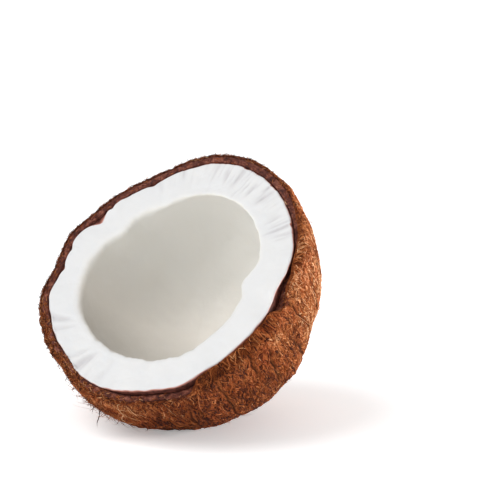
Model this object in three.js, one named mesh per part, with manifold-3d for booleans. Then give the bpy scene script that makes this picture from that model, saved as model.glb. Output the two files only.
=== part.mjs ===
// One half of a husked brown coconut, cut across its middle, tipped towards the front.
//
// Millimetres, +Z up. The origin is on the floor, in the flat spot that the half rests on.
// The cut faces up and towards -Y. Three cups grown inside one another make the half:
// the white flesh, the hard shell and the coat of matted fibre.
//
// Each cup is shaped in the half's own frame: its XY plane is the cut, and its +Z leaves the cut.
// Bearings run round that frame's axis, in degrees from its +X. Dip is 0 at the cut and 90 at the pole.

import * as THREE from "three";
import { mergeVertices } from "three/addons/utils/BufferGeometryUtils.js";
import Module from "manifold-3d";

const wasm = await Module();
wasm.setup();

// Driving dimensions, in millimetres and degrees
const OUTER_RADIUS = 55; // fibre coat, at the cut
const OUTER_DEPTH = 57; // cut to pole, over the coat
const COAT_THICKNESS = 1.7;
const SHELL_THICKNESS = 2.4;
const LAYER_GAP = 0.3; // left free between the cups, and half of it where their facets come closest
const FLESH_AT_CUT = 13.2;
const FLESH_AT_POLE = 12;
const TILT = 45; // of the cut, from level
const LEAN_FORWARD = 16.9; // from the origin to the middle of the cut, along -Y

// The layers' own radii and depths, from the outside in
const SHELL_RADIUS = OUTER_RADIUS - COAT_THICKNESS - LAYER_GAP;
const SHELL_DEPTH = OUTER_DEPTH - COAT_THICKNESS - LAYER_GAP;
const FLESH_RADIUS = SHELL_RADIUS - SHELL_THICKNESS - LAYER_GAP;
const FLESH_DEPTH = SHELL_DEPTH - SHELL_THICKNESS - LAYER_GAP;
const CAVITY_RADIUS = FLESH_RADIUS - FLESH_AT_CUT;
const CAVITY_DEPTH = FLESH_DEPTH - FLESH_AT_POLE;

// How fine each cup is: steps round it, then from the cut to the pole. Faces that meet across a gap
// have the same number of steps to the pole, so that the gap stays even.
const JOINT_STEPS = 11;
const COAT_STEPS = { round: 104, down: 20, inside: JOINT_STEPS };
const SHELL_STEPS = { round: 52, down: JOINT_STEPS, inside: JOINT_STEPS };
const FLESH_STEPS = { round: 52, down: JOINT_STEPS, inside: 10 };

// The outline isn't round: it bulges or flattens at these bearings, by `out` over about `spread` each way
const OUTLINE = [
  { at: 95, spread: 30, out: 1.8 },
  { at: 125, spread: 18, out: -2.6 },
  { at: 170, spread: 9, out: 2.4 },
  { at: 200, spread: 9, out: 1.8 },
  { at: 240, spread: 16, out: -2.4 },
  { at: 305, spread: 10, out: 1.5 },
  { at: 2, spread: 11, out: -2.4 },
];

// The cavity has an outline of its own
const CAVITY_OUTLINE = [
  { at: 125, spread: 20, out: -3.0 },
  { at: 155, spread: 10, out: -3.0 },
  { at: 205, spread: 40, out: 1.6 },
  { at: 240, spread: 40, out: -2.5 },
  { at: 305, spread: 20, out: 1.6 },
  { at: 3, spread: 10, out: -4.0 },
];

// The rim of shell and coat is broken unevenly. At each bearing `down` is how far it lies below the cut,
// and `over` how far the coat's edge is folded in over the shell's: 0 not at all, 1 right across.
const BROKEN_RIM = [
  { at: 8, down: 3.2, over: 0 },
  { at: 20, down: 2.0, over: 0 },
  { at: 36, down: 1.2, over: 0 },
  { at: 54, down: 0.7, over: 0 },
  { at: 110, down: 0.4, over: 0 },
  { at: 172, down: 0.6, over: 0 },
  { at: 215, down: 0.4, over: 0 },
  { at: 262, down: 0.8, over: 0 },
  { at: 284, down: 2.9, over: 0 },
  { at: 305, down: 3.3, over: 0 },
  { at: 313, down: 3.2, over: 1 },
  { at: 340, down: 3.2, over: 1 },
  { at: 349, down: 3.6, over: 0.7 },
  { at: 358, down: 5.0, over: 0 },
];
const FOLD_SLOPE = 2.2; // how much lower the shell's outer edge is broken under a full fold
const FOLD_TOP = 1.3; // how far a full fold's edge lies below the cut
const FOLD_THICKNESS = 1.2;
const FOLD_DRAW = 0.4; // how far towards its tip a full fold draws the coat's outer edge, as a share
const RIM_SINK = 0.2; // how far the middle of an unfolded coat rim lies below its edges

// The points across the coat's rim, at these shares of the way in, and how far below the cut a full fold
// holds each
const COAT_RIM = [
  { share: 0.3, down: FOLD_TOP },
  { share: 0.6, down: FOLD_TOP },
  { share: 0.8, down: FOLD_TOP + FOLD_THICKNESS },
];

// The rims are uneven: `waves` round them, which come and go `swells` times. The shell's stands up by
// `raised` on average.
const COAT_FRAY = { height: 0.3, waves: 21, swells: 8 };
const SHELL_CHIPS = { raised: 0.3, height: 0.25, waves: 9, swells: 5, shift: 20 };

// Bundles of fibre lie along the coat from cut to pole, as ridges raised from it. Each set has its
// `count` round the coat, and sways from side to side `waves` times on its way down.
const RIDGES = [
  { count: 26, height: 0.34, sway: 0.7, waves: 1.3 },
  { count: 19, height: 0.3, sway: 1.0, waves: 2.1 },
  { count: 11, height: 0.24, sway: 1.6, waves: 0.9 },
];
const RIDGE_MIDDLE = 0.36; // the mean of a ridge's section, whose crest is 1 and whose furrow is 0
const WAVE_PER_DIP = 360 / 90; // so that one wave takes the whole way down
const SWAY_REPEATS = 3; // how often the pattern of the sways comes round again on the way round the coat

// The section of the flesh's cut face, from its outer edge, at 0, to the cavity's edge, at 1
const CUT_SECTION = [
  { share: 0, sink: 0.35 },
  { share: 0.06, sink: 0 },
  { share: 0.5, sink: 0.1 },
  { share: 0.86, sink: 0.25 },
  { share: 0.97, sink: 1.0 },
];
const LIP = { down: 0.055, inset: 0.03 }; // of the cavity's rounded edge, as shares of depth and width

// How far the cut face of the flesh is torn up and down, in waves round it
const TEARS = [
  { waves: 13, height: 0.22, shift: 0 },
  { waves: 22, height: 0.16, shift: 40 },
];

// The three pores at the pole, where the coat is worn through to the shell
const EYES = { count: 3, radius: 3.6, fromPole: 9.5, firstBearing: 90, sides: 14 };
const PIN_LENGTH = 4 * COAT_THICKNESS; // of the pin that cuts a pore, enough to pass right through

// Where the coat is matted thicker, by `height` in the middle of a spot and less out to its `reach`.
// The first spot is the pad below the half's weight. The others fill out its lower side.
const SWELLINGS = [
  { bearing: 270, dip: 65, reach: 26, height: 4.2 },
  { bearing: 258, dip: 20, reach: 26, height: 1.3 },
  { bearing: 284, dip: 32, reach: 28, height: 1.4 },
  { bearing: 312, dip: 38, reach: 30, height: 1.3 },
  { bearing: 338, dip: 38, reach: 30, height: 2.4 },
  { bearing: 6, dip: 34, reach: 28, height: 1.2 },
  { bearing: 28, dip: 22, reach: 24, height: 0.5 },
];
const SWELLING_SLOPE = 0.8; // the share of its reach over which a swelling rises to its full height

// Loose strands that stand off the coat. Each leaves it with a slope of `rise` and bends over by `bend`.
const STRANDS = {
  tries: 72,
  seed: 11,
  sides: 3,
  rings: 4,
  thickness: 1.1,
  tip: 0.5, // the share of its thickness that is left at its tip
  shortest: 7,
  longest: 13,
  sunk: 0.5,
  rise: 0.3,
  bend: 0.05,
  sideways: 0.6, // the most that one curls sideways, as a share of its length
  spread: 2.2, // of their headings, in radians, about the line from cut to pole
  stray: 20, // the most that one's bearing strays from its even place
  highest: 0.06, // where the first grows, as a share of the depth
  range: 0.8, // how much of the depth they cover below it
};
const FLOOR_CLEARANCE = 12; // no loose strand grows lower than this

const GOLDEN_ANGLE = 137.5;
const SAME_POINT = 1e-4; // vertices nearer than this are one
const rad = THREE.MathUtils.degToRad;
const deg = THREE.MathUtils.radToDeg;
const tilt = rad(TILT);
const upInHalf = new THREE.Vector3(0, Math.sin(tilt), Math.cos(tilt));
// Of the middle of the cut, over the floor
const cutHeight = Math.hypot(OUTER_RADIUS * Math.sin(tilt), OUTER_DEPTH * Math.cos(tilt));

// The signed angle from one bearing to another, between -180 and 180
function turn(from, to) {
  return ((((to - from + 180) % 360) + 360) % 360) - 180;
}

function bumps(list, bearing) {
  return list.reduce((sum, b) => sum + b.out * Math.exp(-((turn(b.at, bearing) / b.spread) ** 2)), 0);
}

// The broken rim at a bearing, eased between the listed ones
function brokenRim(bearing) {
  const b = ((bearing % 360) + 360) % 360;
  const next = BROKEN_RIM.findIndex((p) => p.at > b);
  const p1 = BROKEN_RIM[Math.max(next, 0)];
  const p0 = BROKEN_RIM.at(Math.max(next, 0) - 1);
  const apart = (from, to) => (to - from + 360) % 360;
  const t = THREE.MathUtils.smoothstep(apart(p0.at, b) / apart(p0.at, p1.at), 0, 1);
  return { down: THREE.MathUtils.lerp(p0.down, p1.down, t), over: THREE.MathUtils.lerp(p0.over, p1.over, t) };
}

// A point of an ellipsoid layer. The outline's bumps fade towards the pole.
function onLayer(radius, depth, bearing, dip, outline = OUTLINE) {
  const fade = Math.cos(rad(dip)) ** 2;
  const r = (radius + bumps(outline, bearing) * fade) * Math.cos(rad(dip));
  const b = rad(bearing);
  return new THREE.Vector3(r * Math.cos(b), r * Math.sin(b), -depth * Math.sin(rad(dip)));
}

// Which way is out of an ellipsoid layer there
function outward(radius, depth, bearing, dip) {
  const b = rad(bearing);
  const d = rad(dip);
  const out = Math.cos(d) / radius;
  return new THREE.Vector3(out * Math.cos(b), out * Math.sin(b), -Math.sin(d) / depth).normalize();
}

// The dip at which a layer meets the broken rim. A fold lowers that by its own share of the slope.
function rimDip(depth, bearing, slope) {
  const { down, over } = brokenRim(bearing);
  return deg(Math.asin((down + slope * over) / depth));
}

// How far the ridges rise from the coat. They fade at the pole, where they run together.
function ridgeHeight(bearing, dip) {
  const fade = Math.cos(rad(dip));
  return RIDGES.reduce((sum, ridge) => {
    const sway = ridge.sway * Math.sin(rad(dip * WAVE_PER_DIP * ridge.waves + bearing * SWAY_REPEATS));
    const crest = 1 - Math.abs(Math.sin((rad(bearing) * ridge.count) / 2 + sway));
    return sum + 2 * ridge.height * (crest - RIDGE_MIDDLE) * fade;
  }, 0);
}

// How much thicker the coat is matted at a point of its plain surface
function swellingHeight(point) {
  return SWELLINGS.reduce((sum, { bearing, dip, reach, height }) => {
    const middle = onLayer(OUTER_RADIUS, OUTER_DEPTH, bearing, dip);
    const nearness = 1 - point.distanceTo(middle) / reach;
    return sum + height * THREE.MathUtils.smoothstep(nearness, 0, SWELLING_SLOPE);
  }, 0);
}

// Lifts a point that would be below the floor up to it
function pressFlat(point) {
  const height = cutHeight + point.dot(upInHalf);
  return height < 0 ? point.addScaledVector(upInHalf, -height) : point;
}

// A closed cup. Each station gives the ring's point at a bearing, and the first and last are the poles.
function cup(stations, steps) {
  const profile = stations.map((_, i) => new THREE.Vector2(i % (stations.length - 1) === 0 ? 0 : 1, i));
  const geometry = new THREE.LatheGeometry(profile, steps);
  const position = geometry.getAttribute("position");
  for (let i = 0; i < position.count; i++) {
    const bearing = ((Math.floor(i / stations.length) % steps) * 360) / steps;
    const p = stations[i % stations.length](bearing);
    position.setXYZ(i, p.x, p.y, p.z);
  }
  return weld(geometry);
}

// The geometry with shared vertices merged, and without faces that have no area
function weld(geometry) {
  geometry.deleteAttribute("normal");
  geometry.deleteAttribute("uv");
  const merged = mergeVertices(geometry, SAME_POINT);
  const index = merged.getIndex().array;
  const kept = [];
  for (let i = 0; i < index.length; i += 3) {
    const [a, b, c] = index.subarray(i, i + 3);
    if (a !== b && b !== c && c !== a) kept.push(a, b, c);
  }
  return merged.setIndex(kept);
}

// Dips from the rim, at 0, to the pole, at 1
function dipAt(share, depth, bearing, slope = 0) {
  return THREE.MathUtils.lerp(rimDip(depth, bearing, slope), 90, share);
}

function shares(count) {
  return Array.from({ length: count }, (_, i) => i / count);
}

// White flesh: a thick cup with a wavy cut face, a rounded lip and a smooth cavity
function fleshGeometry() {
  const outside = (share) => (bearing) => onLayer(FLESH_RADIUS, FLESH_DEPTH, bearing, share * 90);
  const inside = (share) => (bearing) =>
    onLayer(CAVITY_RADIUS, CAVITY_DEPTH, bearing, share * 90, CAVITY_OUTLINE);
  // The tears of the cut face fade out inwards
  const cutFace = (share, sink) => (bearing) => {
    const tear = TEARS.reduce((sum, t) => sum + t.height * Math.sin(rad(bearing * t.waves + t.shift)), 0);
    const p = outside(0)(bearing).lerp(inside(0)(bearing), share);
    return p.setZ(tear * (1 - share) - sink);
  };
  const roundedLip = (bearing) => inside(LIP.down)(bearing).lerp(outside(0)(bearing), LIP.inset);
  return cup(
    [
      outside(1),
      ...shares(FLESH_STEPS.down).reverse().slice(0, -1).map(outside),
      ...CUT_SECTION.map(({ share, sink }) => cutFace(share, sink)),
      roundedLip,
      ...shares(FLESH_STEPS.inside).slice(1).map(inside),
      inside(1),
    ],
    FLESH_STEPS.round,
  );
}

// Hard shell: a thin cup whose rim is broken unevenly, and slopes outward below a fold of the coat
function shellGeometry() {
  const innerRadius = SHELL_RADIUS - SHELL_THICKNESS;
  const innerDepth = SHELL_DEPTH - SHELL_THICKNESS;
  const outside = (share) => (bearing) =>
    onLayer(SHELL_RADIUS, SHELL_DEPTH, bearing, dipAt(share, SHELL_DEPTH, bearing, FOLD_SLOPE));
  const inside = (share) => (bearing) =>
    onLayer(innerRadius, innerDepth, bearing, dipAt(share, innerDepth, bearing));
  const rim = (bearing) => {
    const { raised, height, waves, swells, shift } = SHELL_CHIPS;
    const chip = raised + height * Math.sin(rad(bearing * waves)) * Math.sin(rad(bearing * swells + shift));
    const p = outside(0)(bearing).lerp(inside(0)(bearing), 0.5);
    return p.setZ(p.z + chip * (1 - brokenRim(bearing).over));
  };
  return cup(
    [
      outside(1),
      ...shares(SHELL_STEPS.down).reverse().map(outside),
      rim,
      ...shares(SHELL_STEPS.inside).map(inside),
      inside(1),
    ],
    SHELL_STEPS.round,
  );
}

// The coat's outer surface, with its ridges, its swellings and the flat spot pressed into them
function coatSurface(bearing, dip) {
  const base = onLayer(OUTER_RADIUS, OUTER_DEPTH, bearing, dip);
  const out = outward(OUTER_RADIUS, OUTER_DEPTH, bearing, dip);
  const raised = base.clone().addScaledVector(out, ridgeHeight(bearing, dip) + swellingHeight(base));
  return pressFlat(raised);
}

// Fibre coat: a thin ridged cup, frayed at its rim and folded in over the shell's at the front
function coatGeometry() {
  const innerRadius = OUTER_RADIUS - COAT_THICKNESS;
  const innerDepth = OUTER_DEPTH - COAT_THICKNESS;
  const outside = (share) => (bearing) => coatSurface(bearing, dipAt(share, OUTER_DEPTH, bearing));
  const inside = (share) => (bearing) =>
    onLayer(innerRadius, innerDepth, bearing, dipAt(share, innerDepth, bearing, FOLD_SLOPE));
  const foldTip = (bearing, down) => onLayer(FLESH_RADIUS + 2 * LAYER_GAP, 0, bearing, 0).setZ(-down);
  // Between the outer edge, 0, and the inner, 1. A fold draws it in towards its tip.
  const rim = (share, down) => (bearing) => {
    const { over } = brokenRim(bearing);
    const { height, waves, swells } = COAT_FRAY;
    const fray = height * Math.sin(rad(bearing * waves)) * Math.sin(rad(bearing * swells));
    const p = outside(0)(bearing).lerp(inside(0)(bearing), share);
    p.z += fray * (1 - share) - RIM_SINK;
    return p.lerp(foldTip(bearing, down), over * Math.min(1, FOLD_DRAW + share));
  };
  return cup(
    [
      outside(1),
      ...shares(COAT_STEPS.down).reverse().map(outside),
      ...COAT_RIM.map(({ share, down }) => rim(share, down)),
      ...shares(COAT_STEPS.inside).map(inside),
      inside(1),
    ],
    COAT_STEPS.round,
  );
}

// A repeatable run of numbers between 0 and 1
function seeded(seed) {
  let state = seed;
  return () => {
    state = (state * 1664525 + 1013904223) % 4294967296;
    return state / 4294967296;
  };
}

// One tapered strand, rooted just below the coat's surface and curling away from it
function strandGeometry(root, out, along, length, curl) {
  const { sides, rings, thickness, tip, sunk, rise, bend } = STRANDS;
  const geometry = new THREE.CylinderGeometry(tip, 1, 1, sides, rings - 1);
  const position = geometry.getAttribute("position");
  const across = new THREE.Vector3().crossVectors(along, out);
  for (let i = 0; i < position.count; i++) {
    const share = position.getY(i) + 0.5;
    const centre = root
      .clone()
      .addScaledVector(along, length * share)
      .addScaledVector(out, length * (rise * share - bend * share * share) - sunk)
      .addScaledVector(across, curl * share * share);
    centre.addScaledVector(across, (position.getX(i) * thickness) / 2);
    centre.addScaledVector(out, (position.getZ(i) * thickness) / 2);
    position.setXYZ(i, centre.x, centre.y, centre.z);
  }
  return weld(geometry);
}

// Where one loose strand grows and how it runs, or nothing where it would be too low or over the cut
function strandAt(bearing, dip, draw) {
  const length = THREE.MathUtils.lerp(STRANDS.shortest, STRANDS.longest, draw());
  const curl = (draw() - 0.5) * length * STRANDS.sideways;
  const heading = (draw() - 0.5) * STRANDS.spread + (draw() < 0.5 ? 0 : Math.PI);
  const root = coatSurface(bearing, dip);
  const out = outward(OUTER_RADIUS, OUTER_DEPTH, bearing, dip);
  const round = new THREE.Vector3(-Math.sin(rad(bearing)), Math.cos(rad(bearing)), 0);
  const along = new THREE.Vector3().crossVectors(round, out).applyAxisAngle(out, heading);
  const tip = root.clone().addScaledVector(along, length);
  const lowest = cutHeight + Math.min(root.dot(upInHalf), tip.dot(upInHalf));
  const reachesCut = tip.z + STRANDS.rise * length > 0;
  return lowest < FLOOR_CLEARANCE || reachesCut ? null : strandGeometry(root, out, along, length, curl);
}

// Loose strands, spread over the coat by the golden angle
function strandGeometries() {
  const draw = seeded(STRANDS.seed);
  return Array.from({ length: STRANDS.tries }, (_, i) => {
    const bearing = i * GOLDEN_ANGLE + draw() * STRANDS.stray;
    const depthShare = STRANDS.highest + (STRANDS.range * (i + draw())) / STRANDS.tries;
    return strandAt(bearing, deg(Math.asin(depthShare)), draw);
  }).filter((strand) => strand);
}

// A closed geometry as a solid that can be joined and cut
function solidOf(geometry) {
  const vertProperties = new Float32Array(geometry.getAttribute("position").array);
  const triVerts = new Uint32Array(geometry.getIndex().array);
  return new wasm.Manifold(new wasm.Mesh({ numProp: 3, vertProperties, triVerts }));
}

// A joined or cut solid as a geometry again
function geometryOf(solid) {
  const { vertProperties, triVerts } = solid.getMesh();
  return new THREE.BufferGeometry()
    .setAttribute("position", new THREE.BufferAttribute(vertProperties, 3))
    .setIndex(new THREE.BufferAttribute(triVerts, 1));
}

// A pin through the coat at each pore, to cut it with
function eyeGeometries() {
  return Array.from({ length: EYES.count }, (_, i) => {
    const bearing = EYES.firstBearing + (i * 360) / EYES.count;
    const dip = 90 - deg(EYES.fromPole / OUTER_RADIUS);
    const pin = new THREE.CylinderGeometry(EYES.radius, EYES.radius, PIN_LENGTH, EYES.sides);
    const out = outward(OUTER_RADIUS, OUTER_DEPTH, bearing, dip);
    pin.applyQuaternion(new THREE.Quaternion().setFromUnitVectors(new THREE.Vector3(0, 1, 0), out));
    const middle = onLayer(OUTER_RADIUS, OUTER_DEPTH, bearing, dip);
    return weld(pin.translate(middle.x, middle.y, middle.z));
  });
}

// Fibre coat: the ridged cup, with its loose strands joined on and its pores cut through
function coatWithStrands() {
  const withStrands = strandGeometries().reduce(
    (coat, strand) => coat.add(solidOf(strand)),
    solidOf(coatGeometry()),
  );
  const pierced = eyeGeometries().reduce((coat, pin) => coat.subtract(solidOf(pin)), withStrands);
  return geometryOf(pierced);
}

// A named mesh with its own material
function piece(name, geometry, color, roughness) {
  const mesh = new THREE.Mesh(geometry, new THREE.MeshStandardMaterial({ color, roughness, metalness: 0 }));
  mesh.name = name;
  return mesh;
}

const half = new THREE.Group();
half.add(
  piece("flesh", fleshGeometry(), 0xf2f2ee, 0.45),
  piece("shell", shellGeometry(), 0x4a2a20, 0.6),
  piece("fibre_coat", coatWithStrands(), 0x9c5f36, 0.9),
);
half.rotation.x = tilt;
half.position.set(0, -LEAN_FORWARD, cutHeight);

const coconut = new THREE.Group();
coconut.add(half);

export default coconut;
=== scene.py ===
"""One half of a husked brown coconut: the fine surface, its materials, and a plain studio.

The shapes are worked out in millimetres in the half's own frame, like those of the solids. Its XY plane
is the cut, and its +Z leaves the cut. Bearings run round that frame's axis, in degrees from its +X. Dip
is 0 at the cut and 90 at the pole. to_world turns such a point into the row's frame, in metres.
"""
import math

import bpy
import numpy as np
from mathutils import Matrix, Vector


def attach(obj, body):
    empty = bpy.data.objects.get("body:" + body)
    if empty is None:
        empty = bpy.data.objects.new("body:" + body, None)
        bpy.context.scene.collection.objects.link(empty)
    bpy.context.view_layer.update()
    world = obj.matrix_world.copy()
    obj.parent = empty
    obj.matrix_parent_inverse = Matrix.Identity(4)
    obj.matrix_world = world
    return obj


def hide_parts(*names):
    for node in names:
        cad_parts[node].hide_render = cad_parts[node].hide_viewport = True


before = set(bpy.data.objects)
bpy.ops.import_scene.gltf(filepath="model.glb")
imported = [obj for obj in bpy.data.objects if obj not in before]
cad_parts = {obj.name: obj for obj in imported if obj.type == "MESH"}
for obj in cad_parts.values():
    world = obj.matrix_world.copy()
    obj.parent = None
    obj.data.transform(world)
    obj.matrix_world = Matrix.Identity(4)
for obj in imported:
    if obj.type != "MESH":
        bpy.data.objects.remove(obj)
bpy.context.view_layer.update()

# The solids' driving dimensions, in millimetres and degrees
OUTER_RADIUS = 55.0
OUTER_DEPTH = 57.0
COAT_THICKNESS = 1.7
SHELL_THICKNESS = 2.4
LAYER_GAP = 0.3
FLESH_AT_CUT = 13.2
FLESH_AT_POLE = 12.0
TILT = 45.0
LEAN_FORWARD = 16.9

SHELL_RADIUS = OUTER_RADIUS - COAT_THICKNESS - LAYER_GAP
SHELL_DEPTH = OUTER_DEPTH - COAT_THICKNESS - LAYER_GAP
FLESH_RADIUS = SHELL_RADIUS - SHELL_THICKNESS - LAYER_GAP
FLESH_DEPTH = SHELL_DEPTH - SHELL_THICKNESS - LAYER_GAP
CAVITY_RADIUS = FLESH_RADIUS - FLESH_AT_CUT
CAVITY_DEPTH = FLESH_DEPTH - FLESH_AT_POLE

# The outline's bulges and flats: bearing, spread each way, millimetres out
OUTLINE = [
    (95, 30, 1.8),
    (125, 18, -2.6),
    (170, 9, 2.4),
    (200, 9, 1.8),
    (240, 16, -2.4),
    (305, 10, 1.5),
    (2, 11, -2.4),
]
CAVITY_OUTLINE = [
    (125, 20, -3.0),
    (155, 10, -3.0),
    (205, 40, 1.6),
    (240, 40, -2.5),
    (305, 20, 1.6),
    (3, 10, -4.0),
]

# The broken rim: bearing, how far down it lies, how far the coat's edge is folded in over the shell's.
# The solids have no fold at the first three bearings.
BROKEN_RIM = [
    (8, 3.2, 0.5),
    (17, 2.3, 0.9),
    (36, 1.2, 0.55),
    (54, 0.7, 0),
    (110, 0.4, 0),
    (172, 0.6, 0),
    (215, 0.4, 0),
    (262, 0.8, 0),
    (284, 2.9, 0),
    (305, 3.3, 0),
    (313, 3.2, 1),
    (340, 3.2, 1),
    (350, 3.7, 0.9),
    (358, 5.0, 0),
]
FOLD_SLOPE = 2.2  # how much lower the shell's outer edge is broken under a full fold
FOLD_THICKNESS = 1.2

# Ridges on the coat: count round it, height, sway, waves on the way down
RIDGES = [(26, 0.34, 0.7, 1.3), (19, 0.3, 1.0, 2.1), (11, 0.24, 1.6, 0.9)]
RIDGE_MIDDLE = 0.36
RIDGE_SHARE = 0.4  # of their height, under the fibres

# Where the coat is matted thicker: bearing, dip, reach, height. The first is the pad that the half rests on.
SWELLINGS = [
    (270, 65, 26, 4.2),
    (258, 20, 26, 1.3),
    (284, 32, 28, 1.4),
    (312, 38, 30, 1.3),
    (338, 38, 30, 2.4),
    (6, 34, 28, 1.2),
    (28, 22, 24, 0.5),
]
SWELLING_SLOPE = 0.8

# The three pores, the bearing of the first, how deep they are worn and how soft their edge is
EYE_COUNT, EYE_RADIUS, EYE_FROM_POLE, EYE_FIRST = 3, 3.6, 9.5, 90.0
EYE_DEPTH, EYE_SOFTNESS = 1.9, 0.9

# Long cracks down the coat: bearing at the top, first and last dip, bearing turned over that stretch
CRACKS = [
    (318, 1, 42, -5),
    (333, 0, 18, -2),
    (341, 6, 34, -6),
    (359, 2, 34, 6),
    (350, 12, 40, 5),
    (303, 8, 36, -7),
    (291, 14, 40, 4),
    (16, 6, 40, -5),
    (28, 3, 30, 4),
    (60, 6, 40, 8),
    (92, 14, 52, -7),
    (131, 8, 36, 5),
    (158, 20, 58, -4),
    (190, 10, 42, 6),
    (222, 16, 50, -8),
    (254, 6, 30, 3),
]
CRACK_WIDTH = 0.42
CRACK_DEPTH = 0.65
# Strands that pass further than this into a crack are left out
CRACK_CLEAR = 0.2

# Where the cut face is torn most: bearing, spread, strength
TEARS = [(37, 10, 1.0), (64, 13, 0.9), (86, 12, 0.8), (112, 14, 0.35), (176, 7, 0.4), (252, 6, 0.4)]
TEAR_LEAST = 0.06  # their strength anywhere else
TEAR_DEPTH = 0.34
TEAR_NOTCH = 0.35  # how far they notch the face's outer edge
# The wide creases of the cut face: bearing, spread, strength, and how far they turn on their way in
CREASES = [
    (212, 2.2, 0.9, 8),
    (219, 1.8, 0.6, 6),
    (246, 2.6, 1.0, 6),
    (239, 1.8, 0.5, 7),
    (262, 2.4, 0.35, 4),
    (58, 3, 0.3, 4),
]
CREASE_DEPTH = 0.9
# Waves round the cut face: how many, how high, how far shifted
CUT_WAVES = [(13, 0.22, 0), (22, 0.16, 40)]
CUT_SINK = 0.15
# Where the flesh has come away from the shell, or reaches it: bearing, spread, how far its edge is in
NOTCHES = [
    (158, 3.4, 3.2),
    (150, 1.5, 1.0),
    (128, 1.8, 0.8),
    (176, 1.6, 0.9),
    (186, 1.5, 0.9),
    (248, 12, -1.0),
    (5, 16, -0.9),
]
FLESH_SET_BACK = 0.25
# How round the cavity's edge is, at the least and how much more about one bearing
LIP_LEAST, LIP_MORE, LIP_BEARING, LIP_SPREAD = 0.7, 2.7, 178, 60
# Painted light and shade on the hollow's wall, darker on its low side and paler towards its high side: the
# way to the high side, how far from the axis it is darkest, and over what width it pales
PAINTED_LIGHT_WAY, DARKEST, PALES_OVER = (-0.25, 1.0, 0.0), 32, 60

# Steps round each fine surface, five to nine times as many as the solids have
FLESH_ROUND = 440
SHELL_ROUND = 420
COAT_ROUND = 530
# Steps from the pole to the rim, across the rim, and back to the pole
OUTSIDE_STEPS, FACE_STEPS, LIP_STEPS, HOLLOW_STEPS = 26, 44, 13, 76
SHELL_DOWN, SHELL_ACROSS = 24, 16
COAT_DOWN, COAT_ACROSS, COAT_INSIDE = 142, 14, 12

# The coat's edge is worn back towards the shell over this many degrees of dip, most about one bearing
WORN_DOWN = 4.0
WORN_BACK, WORN_MORE, WORN_BEARING, WORN_SPREAD = 0.5, 0.9, 15.0, 55.0
# The fibres laid on the coat stand as high as the solid's face, so the surface under them is set back
SET_BACK = 0.3
# How far the folded edge reaches in over the rim, in degrees of dip
FOLD_REACH = 5.4
# Its tip lies this far below the cut and this far off the flesh, nearer to both than the solid's
FOLD_TIP_DOWN, FOLD_TIP_OFF = 0.55, 0.3

# The sets of fibres laid over the coat, in millimetres and degrees. `spread` is of their headings about
# the line from cut to pole, `bend` is how much they curve, `tone` is the mean and spread of how pale they are
FELTED = dict(seed=81, count=15000, lengths=(1.6, 4.5), widths=(0.4, 0.85), spread=26, bend=20)
FELTED.update(lift=0.14, steps=4, tone=(0.44, 0.14))
MATTED = dict(seed=83, count=8600, lengths=(2.5, 7.0), widths=(0.22, 0.42), spread=18, bend=20)
MATTED.update(lift=0.18, steps=5, tone=(0.45, 0.15))
LONG = dict(seed=82, count=2100, lengths=(6.0, 17.0), widths=(0.14, 0.26), spread=7, bend=12)
LONG.update(lift=0.18, steps=8, tone=(0.38, 0.17))
EDGE = dict(seed=84, count=4800, lengths=(1.4, 3.6), widths=(0.22, 0.5), spread=56, bend=34)
EDGE.update(lift=0.16, steps=5, tone=(0.42, 0.17))
AT_RIM_DOWN = 5.0  # how far below the rim those of the edge start, in degrees of dip

# Hairs that stand off the coat: how many all over, and the tufts' middle bearing, spread and number
EVEN_HAIRS = 260
TUFTS = [(262, 7, 150), (240, 10, 70), (25, 14, 24)]
FRAY_COUNT, THATCH_COUNT = 4200, 3000
HAIR_STEPS, RIM_STEPS = 10, 5

# Single pale fibres laid on the coat: width, tone, then bearing and dip of each bend. A bearing may pass 360.
LAID = [
    (0.36, 0.95, [
        (277.5, 0.5), (275.5, 4), (274.5, 9.5), (272, 12.5), (270.5, 15), (271, 17.5), (274, 17.5),
    ]),
    (0.26, 0.7, [(273, 1.5), (274.5, 4), (275, 8), (277, 12), (280, 14)]),
    (0.3, 0.75, [(279, 0.5), (280.5, 5), (281, 9), (284, 12)]),
    (0.3, 0.5, [(310.5, 1.5), (309, 5), (307, 10), (306, 15)]),
    (0.26, 0.85, [(366, 32), (362, 34), (358, 33), (353, 35)]),
    (0.24, 0.75, [(359, 12), (362, 20), (365, 28), (369, 33)]),
]
LAID_STEPS, LAID_LIFT = 26, 0.45

# Single fibres that hang below the rim: bearing and dip of the root, length, how far they lean and bend
# along the rim for each millimetre down, width, tone
HANGING = [
    (261, 4, 3.2, 0.1, 0.1, 0.5, 0.05),
    (260, 5, 2.4, -0.5, 0.3, 0.34, 0.1),
    (262, 8, 3.2, -1.6, 0.5, 0.26, 0.1),
    (263, 9, 8.0, -0.25, 0.08, 0.44, 0.02),
    (263, 9, 3.0, 0.2, -0.4, 0.36, 0.05),
    (264, 11, 3.4, 0.7, 0.1, 0.3, 0.05),
    (262, 7, 4.2, -1.0, 0.7, 0.26, 0.12),
    (266, 15, 3.2, -1.1, 2.0, 0.34, 0.05),
    (264, 10, 2.6, 0.5, 0.3, 0.28, 0.1),
    (259, 3, 1.8, -1.2, 0.6, 0.3, 0.2),
    (265, 14, 2.2, -0.6, 1.2, 0.3, 0.1),
    (268, 17, 2.0, -1.4, 2.4, 0.26, 0.15),
    (250, 1, 2.2, -0.8, 0.4, 0.24, 0.3),
    (244, 1, 1.6, -0.9, 0.2, 0.24, 0.25),
    (275, 24, 1.8, 0.9, -0.5, 0.26, 0.1),
    (195, 1, 1.7, -1.5, 1.4, 0.24, 0.3),
    (232, 1, 1.5, -1.1, 0.3, 0.22, 0.3),
]
HANGING_STEPS = 12

# The studio's even light, and the floor's own, which keeps it white as far as it is seen
SKY = 0.52
FLOOR_GLOW = 0.3
FLOOR_REACH = 8.0

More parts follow.
